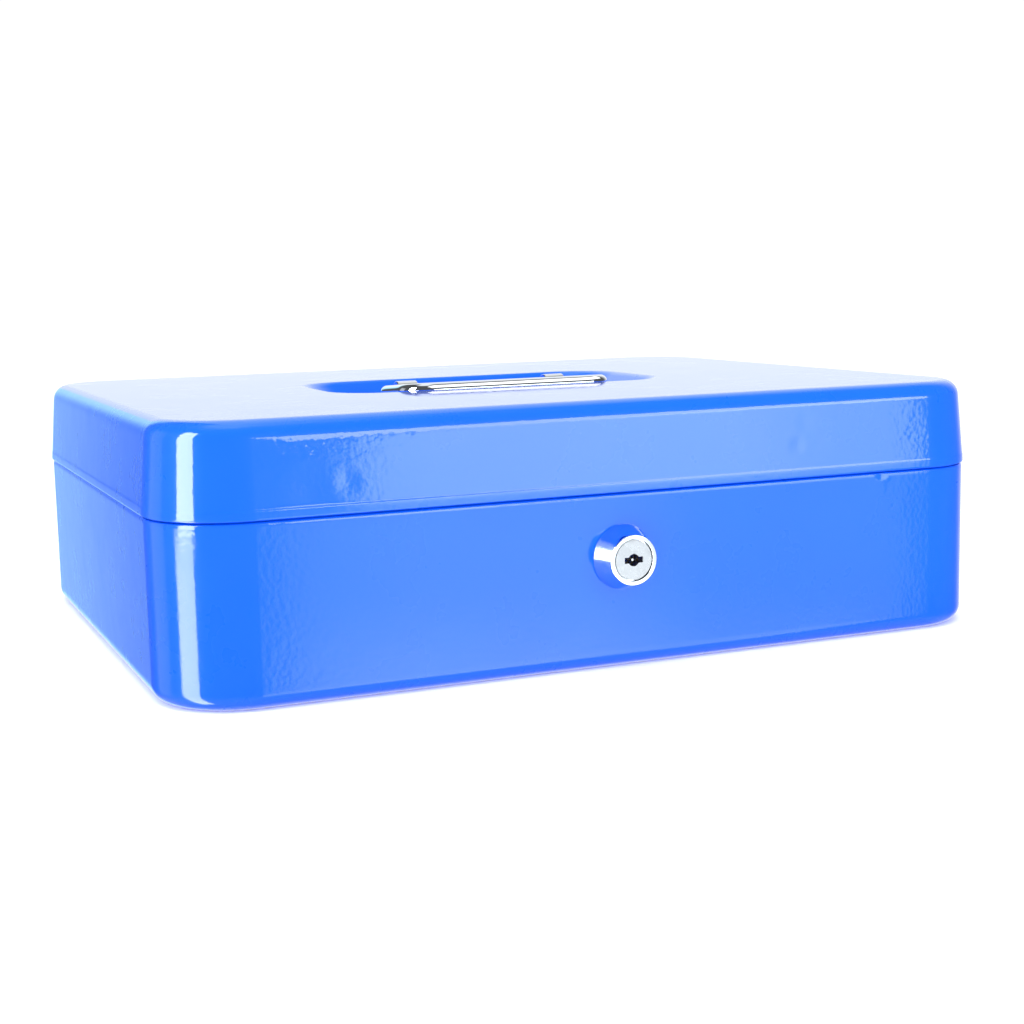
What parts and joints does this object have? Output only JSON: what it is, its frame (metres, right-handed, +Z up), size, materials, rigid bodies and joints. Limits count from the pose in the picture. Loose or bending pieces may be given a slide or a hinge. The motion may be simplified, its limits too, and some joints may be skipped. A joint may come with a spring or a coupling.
{
  "type": "steel cash box",
  "caption": "Lockable sheet steel cash box with a hinged lid, cylinder cam lock, fold-down bail handle and lift-out coin tray.",
  "frame": {"origin": "centre of the flat underside that the box stands on", "axes": "+X along the length, to the right as seen from the lock side; -Y is the lock side; +Z up"},
  "size_m": [0.3, 0.2537, 0.0905],
  "materials": {
    "blue_paint": "gloss",
    "chrome": "polished",
    "nickel": "bright nickel plate",
    "zinc_steel": "zinc plated",
    "lock_brass": "machined",
    "spring_steel": "bright",
    "tray_plastic": "fine grain"
  },
  "bodies": {
    "box_base": {"base_shell": "blue_paint", "hinge_base_leaf_left": "zinc_steel", "hinge_base_leaf_right": "zinc_steel", "hinge_pin_left": "zinc_steel", "hinge_pin_right": "zinc_steel", "hinge_base_rivets": "zinc_steel", "tray_bracket_left": "blue_paint", "tray_bracket_right": "blue_paint", "lock_housing": "chrome", "lock_washer": "zinc_steel", "lock_nut": "zinc_steel"},
    "box_lid": {"lid_shell": "blue_paint", "hinge_lid_leaf_left": "zinc_steel", "hinge_lid_leaf_right": "zinc_steel", "hinge_lid_rivets": "zinc_steel", "handle_clip_left": "nickel", "handle_clip_right": "nickel", "striker": "zinc_steel"},
    "carry_handle": {"bail_handle": "chrome"},
    "lock_cylinder": {"lock_plug": "nickel", "lock_wafers": "lock_brass", "lock_wafer_springs": "spring_steel", "lock_core_pin": "nickel", "lock_cam": "zinc_steel", "cam_washer": "zinc_steel", "cam_screw": "zinc_steel"},
    "tray": {"coin_tray": "tray_plastic"}
  },
  "joints": [
    {"name": "lid_hinge", "type": "hinge", "parent": "box_base", "child": "box_lid", "pos_m": [0, 0.1205, 0.058], "axis": [-1, 0, 0], "range_deg": [0, 100]},
    {"name": "handle_fold", "type": "hinge", "parent": "box_lid", "child": "carry_handle", "pos_m": [0, 0, 0.0855], "axis": [-1, 0, 0], "range_deg": [0, 170]},
    {"name": "lock_turn", "type": "hinge", "parent": "box_base", "child": "lock_cylinder", "pos_m": [0, -0.11, 0.037], "axis": [0, 1, 0], "range_deg": [0, 90]},
    {"name": "tray_lift", "type": "slide", "parent": "box_base", "child": "tray", "axis": [0, 0, 1], "range_m": [0, 0.012]}
  ]
}
